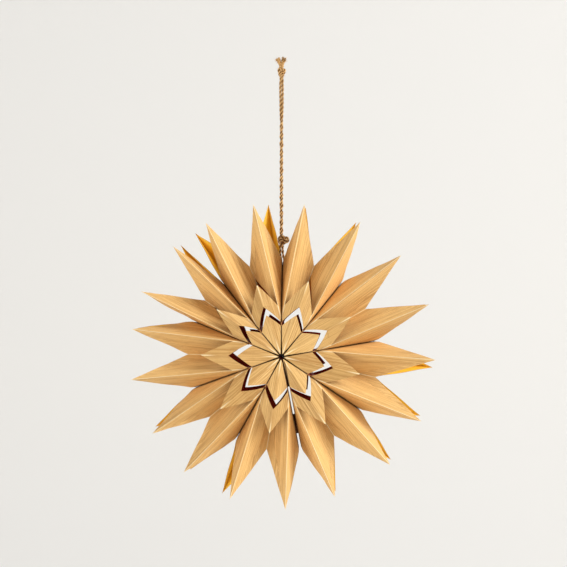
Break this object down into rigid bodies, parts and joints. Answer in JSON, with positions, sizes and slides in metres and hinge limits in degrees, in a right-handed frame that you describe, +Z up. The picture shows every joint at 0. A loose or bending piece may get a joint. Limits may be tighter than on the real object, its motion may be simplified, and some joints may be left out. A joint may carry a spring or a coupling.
{
  "type": "hanging paper star",
  "caption": "Round hanging star of folded, gusseted paper bags glued side by side, with slit rosette petals and a jute twine hanger.",
  "frame": {"origin": "the hub of the star, where all the folded bags meet, half way through its depth", "axes": "+Z up along the hanging twine, -Y toward the front, +X to the right seen from the front"},
  "size_m": [0.3018, 0.08, 0.4506],
  "materials": {
    "bag_paper": "matt, printed or veneered with fine straight wood grain",
    "pad_foam": "matt",
    "jute": "matt, hairy twisted fibre"
  },
  "bodies": {
    "root": {"bag_1": "bag_paper", "bag_2": "bag_paper", "bag_3": "bag_paper", "bag_4": "bag_paper", "bag_5": "bag_paper", "bag_6": "bag_paper", "bag_7": "bag_paper", "bag_8": "bag_paper", "bag_9": "bag_paper", "closure_pad_inner": "pad_foam", "closure_pad_outer": "pad_foam", "twine_lower_knot": "jute", "twine_top_knot": "jute", "twine_loop": "jute", "twine_pair": "jute", "twine_end_left": "jute", "twine_end_right": "jute"}
  },
  "joints": []
}
